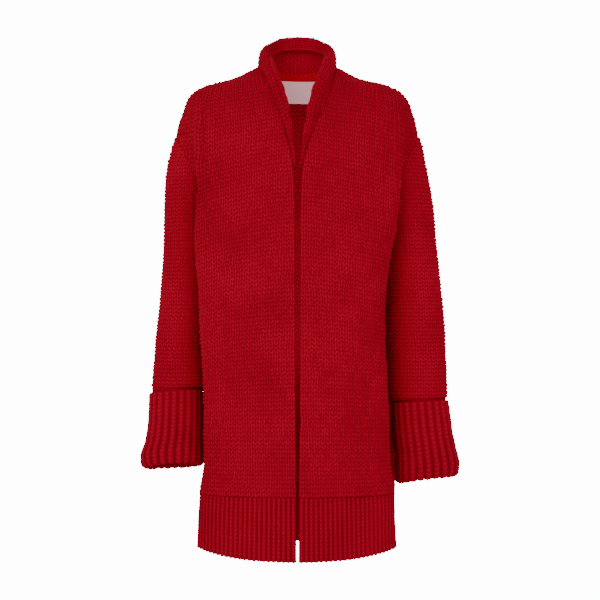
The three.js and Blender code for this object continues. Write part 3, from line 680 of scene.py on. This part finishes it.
def knitPanel(name, form, cloth, place, soft, sideRim=None):
    # Lays stocking stitch on a form. place turns wales and courses into rows and reaches, soft
    # gives the folds, and sideRim says which edges meet and are joined.
    mesh = flatCloth(cloth["wales"] * 4, cloth["courses"] * 4, 4)
    flat = flatPlaces(mesh)
    hidden = flat[:, 2] < -0.5
    column, line = np.round(flat[:, 0]).astype(int), np.round(flat[:, 1]).astype(int)
    slant = np.where(hidden, 0, stitchSlants[column % 4])
    wale = flat[:, 0] / 4 + cloth["firstWale"]
    course = flat[:, 1] / 4
    drift = stitch["unevenPlace"] * softWaves(cloth["seed"], wale, course, 5.0)
    row, along, end, free = place(wale * cloth["wale"] + drift, course * cloth["course"],
                                  slant * stitch["slant"] * cloth["course"])
    setStitchMap(mesh, wale, course + slant * stitch["slant"])
    base = pointOn(form, row, along)
    firm = np.maximum(rowLength(form, row, along) - cloth.get("firm", 0), 0)
    out = wayOut(form, np.maximum(row, cloth.get("steady", 0)), np.clip(along, -firm, firm))
    uneven = unevenTable(cloth["seed"], cloth["wales"] * 2 + 2, cloth["courses"] + 2, stitch["unevenHeight"])
    crown = stitchCrowns[column % 4, line % 4] * (1 + uneven[column // 2, line // 4])
    crown = np.where(free, crown, np.where(np.abs(along) < 0.01, cloth["nearCrown"], cloth["farCrown"]))
    groove = cloth["groove"] * (column % 4 == 0) * free
    crown = crown - groove * np.clip(1 - row / cloth["grooveReach"], 0, 1)
    height = stitch["relief"] * (crown - 0.45)
    height = height - stitch["seamDip"] * np.exp(-(end / stitch["seamReach"]) ** 2)
    height = np.where(hidden, -sizes["knitWall"], height) + soft(base) * clearOfArmhole(base)
    points = base + out * height[:, None]
    # a sleeve's top runs on a little way under the body round the armhole
    onward = unit(base - pointOn(form, row, along - np.where(along < 0, -3.0, 3.0)) + 1e-6)
    points += (onward - 0.3 * out) * (cloth.get("runsOn", 0) * np.exp(-(end / 4) ** 2))[:, None]
    points[:, 2] -= cloth.get("foot", 0) * np.clip(row - form["lengths"].shape[1] + 5, 0, 3) / 3
    rim = sideRim(flat, row) if sideRim else None
    return closeCloth(name, mesh, points, [knitFace, knitBack], rim)


def ribPanel(name, form, cloth, ends, tube=False):
    # lays one-by-one rib on a form, with the same number of ribs in every row
    mesh = flatCloth(cloth["ribs"] * 6, cloth["courses"] * 4, 6)
    flat = flatPlaces(mesh)
    hidden = flat[:, 2] < -0.5
    column, line = np.round(flat[:, 0]).astype(int), np.round(flat[:, 1]).astype(int)
    place = np.where(hidden, flat[:, 0] / 6, column // 6 + ribPlaces[column % 6])
    slant = np.where(hidden, 0, ribSlants[column % 6])
    course = flat[:, 1] / 4 + slant * rib["slant"]
    rows = form["lengths"].shape[1] - 1
    row = np.clip(course / cloth["courses"], 0, 1) * rows
    halves = form["lengths"].shape[0]
    start = -cloth["ribs"] / 2 if halves == 2 else 0
    reach = (place + start) / (cloth["ribs"] / halves)
    along = reach * rowLength(form, row, reach)
    setStitchMap(mesh, place + start, course)
    base = pointOn(form, row, along)
    out = wayOut(form, row, along)
    uneven = unevenTable(cloth["seed"], cloth["ribs"] * 3 + 2, cloth["courses"] + 2, rib["unevenHeight"])
    uneven[cloth["ribs"] * 3] = uneven[0]
    height = ribCrowns[column % 6, line % 4] * rib["relief"] + uneven[column // 2, line // 4]
    height = np.where(hidden, -sizes["ribWall"], height) + softRib(base)
    points = ends(base + out * height[:, None], row, rows, place)
    rim = None
    if tube:
        rim = (flat[:, 0] < 0.01) | (flat[:, 0] > cloth["ribs"] * 6 - 0.01)
    return closeCloth(name, mesh, points, [ribFace, ribFace], rim)


def rowsByLength(name, start, end):
    # depths at equal steps over the cloth, where it slopes away from upright
    depth = np.arange(start, end + 1)
    level = bodyValue(np.maximum(depth, 0), name)
    pace = np.hypot(1, np.gradient(level))
    pace[depth < 0] = 1
    pace = np.minimum(pace, 1.9)    # the flat top of the shoulder isn't followed all the way
    gone = np.concatenate([[0], np.cumsum((pace[1:] + pace[:-1]) / 2)])
    return gone, depth


# the yarn's colours run from dark hollows to crowns, and the dark hollow colours are painted shade
yarnLook = {
    "stitch": ("#4c020b", "#9c0722", "#b20b29"), "rib": ("#4e020a", "#940720", "#a60a25"),
    "purl": ("#4e020d", "#a80a28", "#ba0c2c"),     # from painted shade in the hollows to the crowns of the yarn
    "roughness": 0.95, "sheen": 0.25, "sheenTint": "#ff2a3c", "gloss": 0.06,
    "fuzz": 1100.0, "patch": 9.0,
}


def yarnMaterial(name, kind):
    # Wool in a thick loose single, knitted. Soft matt fibres, a pale haze at grazing angles, and dark hollows
    # between the legs of the stitches, from the bump and from painted shade in the colour.
    material, tree = newMaterial(name)
    source = addNode(tree, "ShaderNodeUVMap", {"uv_map": "stitch"})
    parts = addNode(tree, "ShaderNodeSeparateXYZ", links={0: source.outputs[0]})
    across, down = parts.outputs[0], parts.outputs[1]

    def maths(operation, first, second=0.0):
        node = addNode(tree, "ShaderNodeMath", {"operation": operation})
        for index, value in enumerate((first, second)):
            if isinstance(value, (int, float)):
                node.inputs[index].default_value = value
            else:
                tree.links.new(value, node.inputs[index])
        return node.outputs[0]

    if kind == "stitch":
        slope = maths("MULTIPLY", maths("PINGPONG", across, 0.5), 2.0)
        legs = maths("FRACT", maths("SUBTRACT", down, maths("MULTIPLY", slope, stitch["slant"])))
        body = maths("MULTIPLY", maths("MULTIPLY", legs, maths("SUBTRACT", 1.0, legs)), 4.0)
        middle = maths("MULTIPLY", maths("MULTIPLY", slope, maths("SUBTRACT", 1.0, slope)), 4.0)
        full = maths("ADD", 0.4, maths("MULTIPLY", middle, 0.6))
        full = maths("MULTIPLY", maths("POWER", body, 0.35), full)
        twist = maths("ADD", maths("MULTIPLY", slope, 3.2), maths("MULTIPLY", legs, 1.1))
    elif kind == "rib":
        side = maths("ABSOLUTE", maths("SUBTRACT", maths("FRACT", across), 0.5))
        slope = maths("MAXIMUM", maths("SUBTRACT", 1.0, maths("DIVIDE", side, 0.38)), 0.0)
        legs = maths("FRACT", maths("SUBTRACT", down, maths("MULTIPLY", slope, rib["slant"])))
        body = maths("MULTIPLY", maths("MULTIPLY", legs, maths("SUBTRACT", 1.0, legs)), 4.0)
        middle = maths("MINIMUM", maths("MULTIPLY", slope, 2.0), 1.0)
        full = maths("ADD", 0.4, maths("MULTIPLY", middle, 0.6))
        full = maths("MULTIPLY", maths("POWER", body, 0.18), full)
        twist = maths("ADD", maths("MULTIPLY", slope, 3.0), legs)
    else:
        sway = maths("MULTIPLY", maths("COSINE", maths("MULTIPLY", across, 2 * math.pi)), 0.27)
        legs = maths("FRACT", maths("ADD", down, sway))
        full = maths("POWER", maths("ABSOLUTE", maths("SINE", maths("MULTIPLY", legs, math.pi))), 0.7)
        twist = maths("MULTIPLY", across, 5.0)
    plies = maths("MULTIPLY", maths("SINE", maths("MULTIPLY", twist, 2 * math.pi)), 0.05)
    place = addNode(tree, "ShaderNodeTexCoord")
    fuzz = addNode(tree, "ShaderNodeTexNoise", {"Scale": yarnLook["fuzz"], "Detail": 3.0, "Roughness": 0.65},
                   {"Vector": place.outputs["Object"]})
    patch = addNode(tree, "ShaderNodeTexNoise", {"Scale": yarnLook["patch"], "Detail": 2.0},
                    {"Vector": place.outputs["Object"]})
    height = maths("ADD", maths("ADD", full, plies), maths("MULTIPLY", fuzz.outputs[0], 0.25))
    bump = addNode(tree, "ShaderNodeBump", {"Strength": 0.7, "Distance": 0.0016}, {"Height": height})
    # the colour follows the yarn's height as painted shade, darkest in the hollows, with random fibre flecks
    # and patches on top
    paintedShadeAndPatches = maths("ADD", maths("MULTIPLY", full, 0.8), maths("MULTIPLY", fuzz.outputs[0], 0.3))
    paintedShadeAndPatches = maths("ADD", paintedShadeAndPatches, maths("MULTIPLY", maths("SUBTRACT", patch.outputs[0], 0.5), 0.5))
    ramp = addNode(tree, "ShaderNodeValToRGB", links={0: paintedShadeAndPatches})
    # the deep colour is painted shade for the hollows, and the lit colour is the yarn on the crowns
    deep, middleTone, lit = yarnLook[kind]
    ramp.color_ramp.elements[0].position = 0.12
    ramp.color_ramp.elements[0].color = linearColour(deep)
    ramp.color_ramp.elements[1].position = 1.0
    ramp.color_ramp.elements[1].color = linearColour(lit)
    middleStop = ramp.color_ramp.elements.new(0.55)
    middleStop.color = linearColour(middleTone)
    shader = addNode(tree, "ShaderNodeBsdfPrincipled", {
        "Roughness": yarnLook["roughness"], "Sheen Weight": yarnLook["sheen"], "Sheen Roughness": 0.5,
        "Sheen Tint": linearColour(yarnLook["sheenTint"]), "Specular IOR Level": yarnLook["gloss"]},
        {"Base Color": ramp.outputs[0], "Normal": bump.outputs[0]})
    addNode(tree, "ShaderNodeOutputMaterial", links={"Surface": shader.outputs[0]})
    return material


knitFace = yarnMaterial("wool_yarn_stocking_stitch", "stitch")
knitBack = yarnMaterial("wool_yarn_purl_side", "purl")
ribFace = yarnMaterial("wool_yarn_rib", "rib")
print("materials are made")

# For each cloth: its stitches, in number and in size, how its near and far edges stand out, how
# deep the grooves between wales are and how far down they fade. The surface's direction holds
# steady over the body's first rows, and its foot runs on into the hem.
bodyCloth = {"wale": 9.0, "course": 7.2, "steady": 6, "foot": 1.6, "farCrown": 0.4,
             "groove": 0.7, "grooveReach": 300}
front = {
    "cloth": bodyCloth | {"wales": 32, "courses": 113, "firstWale": 0, "nearCrown": 0.85},
    "seeds": {"left": 11, "right": 12}, "waveSeeds": {"left": 21, "right": 22},
    "half": 175, "tiltReach": 185,      # half the fronts' width, and where the courses' slope ends
    "above": 22,    # the courses start this far above the shoulder, because they slope down
    # how the courses run down from the edge: a slope, and a curve that adds to it
    "tiltDepths": [0, 80, 186, 330, 450, 600, 727], "tilts": [0.10, 0.10, 0.09, 0.07, 0.05, 0.02, 0.0],
    "curves": [0.0, 0.0003, 0.0006, 0.0005, 0.0003, 0.0001, 0.0],
    # folds: x and z of both ends, width and rise
    "foldsLeft": [
        [173, -80, 172, -190, 7, 2.2], [172, -190, 152, -300, 7, 2.4], [148, -300, 148, -420, 8, 1.6],
        [158, -90, 152, -230, 7, -1.8], [104, -180, 120, -420, 22, -2.0], [70, -60, 60, -150, 14, -2.0],
        [60, -330, 84, -640, 26, 2.2], [130, -430, 112, -690, 20, -2.0],
        [18, -166, 118, -171, 3.6, -1.5], [24, -181, 126, -188, 3.6, -1.3],
        [22, -203, 90, -206, 3.6, -1.1],
        [110, -96, 118, -300, 9, 1.6], [92, -92, 96, -220, 7, -1.5],
    ],
    "foldsRight": [
        [-167, -60, -167, -210, 5, 2.8], [-167, -210, -164, -380, 7, 2.0],
        [-160, -60, -159.5, -185, 3.6, -7.0], [-157, -160, -150, -330, 9, -1.8],
        [-105, -150, -118, -380, 22, -2.2], [-75, -60, -66, -150, 14, -2.5],
        [-62, -300, -80, -600, 26, 2.2], [-128, -420, -108, -700, 20, -2.2],
        [-20, -157, -104, -164, 3.6, -1.6], [-22, -172, -116, -180, 3.6, -1.6],
        [-30, -188, -112, -197, 3.6, -1.3], [-26, -214, -90, -220, 3.6, -1.1],
        [-118, -84, -112, -300, 9, 1.6], [-95, -88, -92, -220, 7, -1.5],
    ],
}


def collarWidth(side):
    # how wide the collar is beside each height of the front, from nothing at its foot
    beside = (collar["marks"] * outOf[side] > 70) & (collar["seamZ"] < -1)
    depth, width = -collar["seamZ"][beside], collar["lengths"][0][beside]
    order = np.argsort(depth)
    depth, width = depth[order], width[order]
    foot, top = width[-1], width[0]
    return depth, (width - foot) * top / (top - foot)


def placeFront(side):
    form, name = fronts[side], side.capitalize()
    gone, depths = rowsByLength("frontY", -front["above"], sizes["hemSeam"] + 1)
    widthDepth, widths = collarWidth(side)

    def measure(depth):
        width = np.interp(depth, widthDepth, widths, right=0)
        spread = (front["half"] - bodyValue(depth, "edge" + name)) / (front["half"] - width)
        return width, spread, rowLength(form, depth, np.zeros_like(depth))

    def place(u, v, slant):
        level = np.interp(v, gone, depths)
        tilt = np.interp(level, front["tiltDepths"], front["tilts"])
        curve = np.interp(level, front["tiltDepths"], front["curves"])
        # the slope depends on how far along a stitch is held, so it settles in a few rounds
        held = u
        for _ in range(5):
            near = np.minimum(held, front["tiltReach"])
            depth = level + tilt * near + curve * near ** 2
            width, spread, length = measure(np.clip(depth, 0, sizes["hemSeam"]))
            held = np.clip(u, width, width + length / spread)
        near = np.minimum(held, front["tiltReach"])
        depth = level + tilt * near + curve * near ** 2
        free = (u > width) & (u < width + length / spread)
        depth = np.clip(depth + slant * free, 0, sizes["hemSeam"])
        width, spread, length = measure(depth)
        along = np.clip((held - width) * spread, 0, length)
        return depth, along, length - along, free
    return place


def softFront(side):
    folds = front["folds" + side.capitalize()]

    def soft(base):
        waves = 1.2 * softWaves(front["waveSeeds"][side], base[:, 0], base[:, 2], 150)
        share = np.clip(-base[:, 2] / 40, 0, 1)
        return (foldHeight(base[:, 0], base[:, 2], folds) + waves) * share
    return soft


for side in outOf:
    name = "front_" + side
    cloth = front["cloth"] | {"seed": front["seeds"][side]}
    knitPanel(name + "_cloth", fronts[side], cloth, placeFront(side), softFront(side))
    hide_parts(name)
print("fronts are knitted")

back = {
    "cloth": bodyCloth | {"wales": 62, "courses": 105, "firstWale": -31, "nearCrown": 0.4, "seed": 31},
    "folds": [
        [-168, -90, -170, -330, 8, 2.0], [170, -90, 168, -330, 8, 2.0], [-70, -120, -96, -420, 24, -2.4],
        [76, -150, 92, -400, 26, -2.2], [10, -260, -8, -620, 28, 2.0], [-120, -430, -100, -700, 22, -2.2],
        [128, -440, 110, -690, 22, -2.2], [-40, -420, -52, -700, 24, 1.6], [60, -460, 56, -700, 24, 1.8],
    ],
}


def placeBack(u, v, slant):
    gone, depths = rowsByLength("backY", 0, sizes["hemSeam"] + 1)
    depth = np.interp(v, gone, depths)
    length = rowLength(backForm, depth, u)
    free = np.abs(u) < length
    depth = np.clip(depth + slant * free, 0, sizes["hemSeam"])
    length = rowLength(backForm, depth, u)
    along = np.clip(u, -length, length)
    return depth, along, length - np.abs(along), free


def softBack(base):
    share = np.clip(-base[:, 2] / 40, 0, 1)
    waves = 1.5 * softWaves(33, base[:, 0], base[:, 2], 170)
    return (foldHeight(base[:, 0], base[:, 2], back["folds"]) + waves) * share


knitPanel("back_cloth", backForm, back["cloth"], placeBack, softBack)
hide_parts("back")
print("back is knitted")

sleeve = {
    "cloth": {"wales": 40, "firstWale": -20, "wale": 9.4, "course": 6.4, "nearCrown": 0.4,
              "farCrown": 0.4, "groove": 0.5, "grooveReach": 300, "runsOn": 4.0},
    "left": {"courses": 75, "seed": 41}, "right": {"courses": 73, "seed": 42},
    "waveSeeds": {"left": 43, "right": 44}, "underarm": 254.0,
}


def placeSleeve(side):
    form = sleeves[side]
    last = form["lengths"].shape[1] - 1

    def place(u, v, slant):
        row = np.clip(v, 0, last)
        length = rowLength(form, row, u)
        free = np.abs(u) < length
        row = np.clip(row + slant * free, 0, last)
        length = rowLength(form, row, u)
        along = np.clip(u, -length, length)
        armhole = np.where(row + sizes["sleeveTop"] < armFoot, length - np.abs(along), noSeam)
        return row, along, armhole, free
    return place


def sleeveRim(flat, row):
    # the two sides of a sleeve meet below the underarm
    edge = (flat[:, 0] < 0.01) | (flat[:, 0] > sleeve["cloth"]["wales"] * 4 - 0.01)
    return edge & (row + sizes["sleeveTop"] > sleeve["underarm"])


def softSleeve(side):
    def soft(base):
        return softWaves(sleeve["waveSeeds"][side], base[:, 1], base[:, 2], 120)
    return soft


for side in outOf:
    name = "sleeve_" + side
    cloth = sleeve["cloth"] | sleeve[side]
    knitPanel(name + "_cloth", sleeves[side], cloth, placeSleeve(side), softSleeve(side),
                             sleeveRim)
    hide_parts(name)
print("sleeves are knitted")

collarCloth = {
    "wales": 11, "courses": 108, "firstWale": 0, "wale": 9.0, "course": 7.1, "seed": 51,
    "nearCrown": 0.4, "farCrown": 0.85, "groove": 0.9, "grooveReach": 1e6,
    "firm": 5.6,        # the tucked strip along the seam, which the surface's direction leaves out
}


def placeCollar(u, v, slant):
    # the two halves run up from their feet and meet at the centre back
    far = v - collarCloth["courses"] / 2 * collarCloth["course"]
    count = np.arange(len(collar["marks"]))
    row = np.interp(far, collar["marks"], count)
    free = (u > 0) & (u < rowLength(collar, row, u))
    station = np.sign(far) * np.maximum(np.abs(far) - slant * free, 0)
    row = np.interp(station, collar["marks"], count)
    length = rowLength(collar, row, u)
    along = np.clip(u, 0, length)
    return row, along, np.full_like(along, noSeam), free


def softCollar(base):
    return 0.6 * softWaves(53, base[:, 0], base[:, 2], 90)


knitPanel("collar_cloth", collar, collarCloth, placeCollar, softCollar)
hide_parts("collar")
print("collar is knitted")

hem = {
    "left": {"ribs": 32, "courses": 16, "seed": 61}, "right": {"ribs": 32, "courses": 16, "seed": 62},
    "back": {"ribs": 70, "courses": 16, "seed": 63},
}
cuff = {"left": {"ribs": 26, "courses": 34, "seed": 71}, "right": {"ribs": 26, "courses": 34, "seed": 72}}


def castOff(points, row, rows, place):
    # the last row is bound off in small scallops, a stitch to each
    share = np.clip(1 - (rows - row) / 10, 0, 1)
    points[:, 2] -= rib["castOff"] * share * np.cos(2 * math.pi * (place - 0.5))
    return points


def cuffEdge(points, row, rows, place):
    # the cuff's free edge is bound off in the same way, at its top
    share = np.clip(1 - row / 8, 0, 1)
    points[:, 2] += rib["castOff"] * share * np.cos(2 * math.pi * (place - 0.5))
    return points


def softRib(base):
    return 0.8 * softWaves(64, base[:, 0], base[:, 2], 110)


for side, form in hemForms.items():
    name = "hem_rib_back" if side == "back" else "hem_rib_front_" + side
    ribPanel(name + "_cloth", form, hem[side], castOff)
    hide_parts(name)
for side, form in cuffs.items():
    name = "cuff_" + side
    ribPanel(name + "_cloth", form, cuff[side], cuffEdge, tube=True)
    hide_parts(name)
print("hem and cuffs are ribbed")

tape = {"halfWidth": 54.0, "top": -5.0, "height": 15.0, "inset": 5.4, "wall": 1.0, "colour": "#b80020"}
label = {"width": 70.0, "top": -19.0, "height": 39.0, "inset": 6.9, "wall": 0.8, "tilt": 0.02,
         "flatten": 0.45, "colour": "#ffc2ca", "curl": 1.6}


def tapeMaterial():
    # Cotton twill tape, closely woven: smooth and flat beside the wool, with fine slanting ribs.
    # The ribs are drawn at 1.2 mm, coarser than real.
    material, tree = newMaterial("cotton_twill_tape")
    source = addNode(tree, "ShaderNodeUVMap", {"uv_map": "weave"})
    turn = addNode(tree, "ShaderNodeMapping", {"Rotation": (0, 0, 0.8)}, {"Vector": source.outputs[0]})
    wave = addNode(tree, "ShaderNodeTexWave", {"Scale": 0.26, "Distortion": 0.4}, {"Vector": turn.outputs[0]})
    bump = addNode(tree, "ShaderNodeBump", {"Strength": 0.25, "Distance": 0.0003},
                   {"Height": wave.outputs[0]})
    shader = addNode(tree, "ShaderNodeBsdfPrincipled", {
        "Base Color": linearColour(tape["colour"]), "Roughness": 0.8, "Specular IOR Level": 0.04},
        {"Normal": bump.outputs[0]})
    addNode(tree, "ShaderNodeOutputMaterial", links={"Surface": shader.outputs[0]})
    return material


def labelMaterial():
    # Polyester satin ribbon: long floats across it give a low soft shine and faint cross ribs.
    # The floats are drawn at 0.8 mm, coarser than real.
    material, tree = newMaterial("polyester_satin_ribbon")
    source = addNode(tree, "ShaderNodeUVMap", {"uv_map": "weave"})
    wave = addNode(tree, "ShaderNodeTexWave", {"bands_direction": "Y", "Scale": 0.39, "Distortion": 0.6},
                   {"Vector": source.outputs[0]})
    bump = addNode(tree, "ShaderNodeBump", {"Strength": 0.15, "Distance": 0.0002},
                   {"Height": wave.outputs[0]})
    shader = addNode(tree, "ShaderNodeBsdfPrincipled", {
        "Base Color": linearColour(label["colour"]), "Roughness": 0.38, "Specular IOR Level": 0.5,
        "Anisotropic": 0.4, "Sheen Weight": 0.1}, {"Normal": bump.outputs[0]})
    addNode(tree, "ShaderNodeOutputMaterial", links={"Surface": shader.outputs[0]})
    return material


def neckLine(x, inset):
    # the inside of the back neck seam at some places across it, with its inward direction
    along = np.linspace(-66, 66, 265)
    line = pointOn(backForm, np.zeros_like(along), along)
    y = np.interp(x, line[:, 0], line[:, 1])
    slope = np.interp(x, line[:, 0], np.gradient(line[:, 1], line[:, 0]))
    inward = unit(np.stack([slope, -np.ones_like(slope)], 1))
    return x + inward[:, 0] * inset, y + inward[:, 1] * inset


def ribbon(name, across, down, shape, wall, material):
    # a thin woven strip, closed all round
    bm = bmesh.new()
    bmesh.ops.create_grid(bm, x_segments=across, y_segments=down, size=0.5)
    mesh = bpy.data.meshes.new(name)
    bm.to_mesh(mesh)
    flat = flatPlaces(mesh)
    points = shape(flat[:, 0] * 2, 0.5 - flat[:, 1]) * 0.001
    bm.verts.ensure_lookup_table()
    weave = bm.loops.layers.uv.new("weave")
    for vert, point in zip(bm.verts, points):
        vert.co = point
        for loop in vert.link_loops:
            loop[weave].uv = (point[0] * 1000, point[2] * 1000)
    bmesh.ops.recalc_face_normals(bm, faces=bm.faces[:])
    if sum(face.normal.y for face in bm.faces) > 0:
        bmesh.ops.reverse_faces(bm, faces=bm.faces[:])
    bmesh.ops.solidify(bm, geom=bm.faces[:], thickness=wall * 0.001)
    bmesh.ops.recalc_face_normals(bm, faces=bm.faces[:])
    for face in bm.faces:
        face.smooth = True
    bm.to_mesh(mesh)
    bm.free()
    mesh.materials.append(material)
    piece = bpy.data.objects.new(name, mesh)
    bpy.context.scene.collection.objects.link(piece)
    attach(piece, "root")
    return piece


def tapeShape(side, share):
    place = side * tape["halfWidth"]
    rise = tape["wall"] + 0.25 * np.sin(place / 6.0 + 1.0) * (0.3 + share)
    x, y = neckLine(place, tape["inset"] + rise)
    z = tape["top"] + sizes["neckDip"] * (place / sizes["neckHalf"]) ** 2 - share * tape["height"]
    return np.stack([x, y, z], 1)


def labelShape(side, share):
    # it hangs flatter than the neck, and its sides curl a little towards the wearer
    place = side * label["width"] / 2
    x, y = neckLine(place, label["inset"] + label["wall"])
    middle = neckLine(np.zeros(1), label["inset"] + label["wall"])[1][0]
    y = y + (middle - y) * label["flatten"] * share
    y = y - label["curl"] * np.abs(side) ** 6 * share - 0.5 * share * np.sin(place / 9.0 + 2 * share)
    z = label["top"] - share * label["height"] - label["tilt"] * place
    return np.stack([x, y, z], 1)


ribbon("neck_tape_woven", 80, 8, tapeShape, tape["wall"], tapeMaterial())
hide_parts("neck_tape")
ribbon("label_satin", 48, 24, labelShape, label["wall"], labelMaterial())
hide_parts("label")
print("tape and label are sewn in")

print("the coat is finished")
